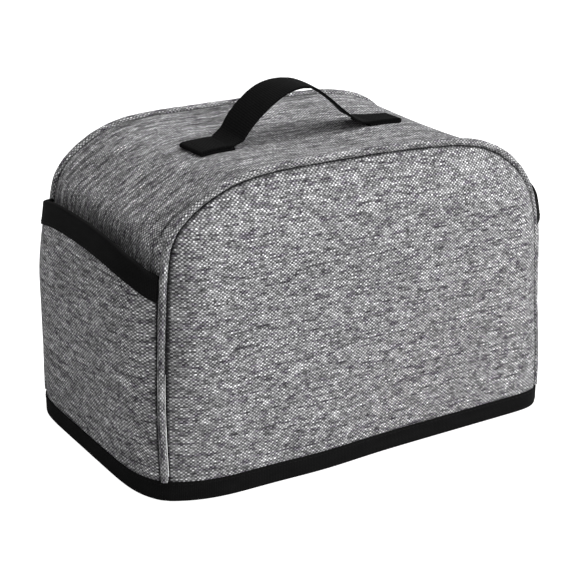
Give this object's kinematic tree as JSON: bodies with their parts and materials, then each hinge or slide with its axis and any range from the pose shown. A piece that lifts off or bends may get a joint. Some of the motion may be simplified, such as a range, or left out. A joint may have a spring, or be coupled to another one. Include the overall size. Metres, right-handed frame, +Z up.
{
  "type": "toaster cover",
  "caption": "Grey cloth cover for a two-slice toaster: boxy body with rounded shoulders, piped seams, pockets at both ends, black bound hem and a black strap handle.",
  "frame": {"origin": "centre of the footprint, on the plane the hem rests on", "axes": "+X along the cover's length, +Z up, the shown face looks towards -Y"},
  "size_m": [0.309, 0.19, 0.2243],
  "materials": {
    "grey_cloth": "woven melange, matt",
    "black_tape": "fine ribbed tape, matt",
    "black_webbing": "ribbed webbing, matt"
  },
  "bodies": {
    "root": {"front_panel": "grey_cloth", "back_panel": "grey_cloth", "gusset": "grey_cloth", "pocket_left": "grey_cloth", "pocket_right": "grey_cloth", "piping_front": "grey_cloth", "piping_back": "grey_cloth", "pocket_binding_left": "black_tape", "pocket_binding_right": "black_tape", "hem_binding": "black_tape", "handle": "black_webbing"}
  },
  "joints": []
}
